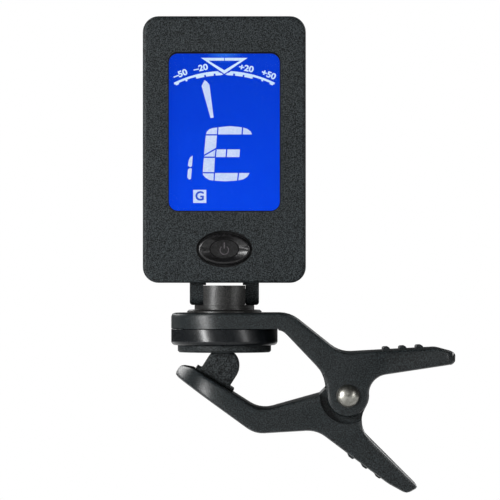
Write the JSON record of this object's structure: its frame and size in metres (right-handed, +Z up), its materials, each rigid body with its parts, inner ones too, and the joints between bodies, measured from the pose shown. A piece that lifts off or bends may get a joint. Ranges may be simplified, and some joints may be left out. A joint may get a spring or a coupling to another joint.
{
  "type": "clip-on instrument tuner",
  "caption": "Clip-on instrument tuner: a flat display head with a power button on a tilting, swivelling neck above a spring clip with a rubber-padded jaw.",
  "frame": {"origin": "middle of the upper jaw pad's lower face, which rests on the instrument", "axes": "+Z up along the neck's swivel axis, the display faces -Y, the clip's handles reach along +X"},
  "size_m": [0.0594, 0.0226, 0.0906],
  "materials": {
    "shell_plastic": "fine spark-eroded grain",
    "arm_plastic": "satin moulded",
    "cover_plastic": "semi-gloss moulded",
    "button_rubber": "soft matte",
    "pad_rubber": "matte",
    "lens_acrylic": "clear polished",
    "display_glass": "backlit liquid crystal",
    "light_guide": "clear moulded",
    "led_white": "moulded",
    "zebra_rubber": "layered",
    "circuit_board": "solder mask",
    "component_black": "moulded",
    "switch_metal": "plated",
    "contact_metal": "plated spring strip",
    "steel": "plated",
    "spring_steel": "drawn wire",
    "brass": "rolled",
    "ceramic": "silvered ceramic",
    "wire_red": "insulated",
    "wire_black": "insulated"
  },
  "bodies": {
    "clip_base": {"upper_arm": "arm_plastic", "disc_cover": "cover_plastic", "upper_pad": "pad_rubber", "pivot_rivet": "steel", "torsion_spring": "spring_steel"},
    "clip_jaw": {"lower_arm": "arm_plastic", "lower_foot": "pad_rubber"},
    "neck": {"swivel_neck": "arm_plastic", "swivel_washer": "steel", "friction_washer": "spring_steel", "swivel_screw": "steel"},
    "head": {"front_case": "shell_plastic", "rear_case": "shell_plastic", "display_lens": "lens_acrylic", "lcd_panel": "display_glass", "backlight_panel": "light_guide", "backlight_led": "led_white", "zebra_connector": "zebra_rubber", "circuit_board": "circuit_board", "controller_chip": "component_black", "timing_crystal": "switch_metal", "supply_capacitor": "component_black", "signal_capacitor": "component_black", "led_resistor": "component_black", "tact_switch": "switch_metal", "battery_tray": "component_black", "coin_cell": "steel", "negative_contact": "contact_metal", "positive_contact": "contact_metal", "piezo_plate": "brass", "piezo_ceramic": "ceramic", "piezo_wire_red": "wire_red", "piezo_wire_black": "wire_black", "case_screw_1": "steel", "case_screw_2": "steel", "case_screw_3": "steel", "case_screw_4": "steel", "hinge_pin": "steel"},
    "button": {"power_button": "button_rubber", "switch_plunger": "component_black"},
    "door": {"battery_door": "shell_plastic"}
  },
  "joints": [
    {"name": "jaw_pivot", "type": "hinge", "parent": "clip_base", "child": "clip_jaw", "pos_m": [0.0234, 0, -0.0081], "axis": [0, -1, 0], "range_deg": [0, 38], "stiffness_Nm_per_rad": 0.05, "springref_deg": -22.92, "deforming": ["torsion_spring"]},
    {"name": "neck_swivel", "type": "hinge", "parent": "clip_base", "child": "neck", "pos_m": [0, 0, 0.00754], "axis": [0, 0, 1], "continuous": true},
    {"name": "head_tilt", "type": "hinge", "parent": "neck", "child": "head", "pos_m": [0, 0, 0.01068], "axis": [1, 0, 0], "range_deg": [-50, 5]},
    {"name": "button_press", "type": "slide", "parent": "head", "child": "button", "axis": [0, 1, 0], "range_m": [0, 0.0004], "stiffness_N_per_m": 900, "springref_m": -0.0001},
    {"name": "battery_door_slide", "type": "slide", "parent": "head", "child": "door", "axis": [0, 0, 1], "range_m": [0, 0.024]}
  ]
}
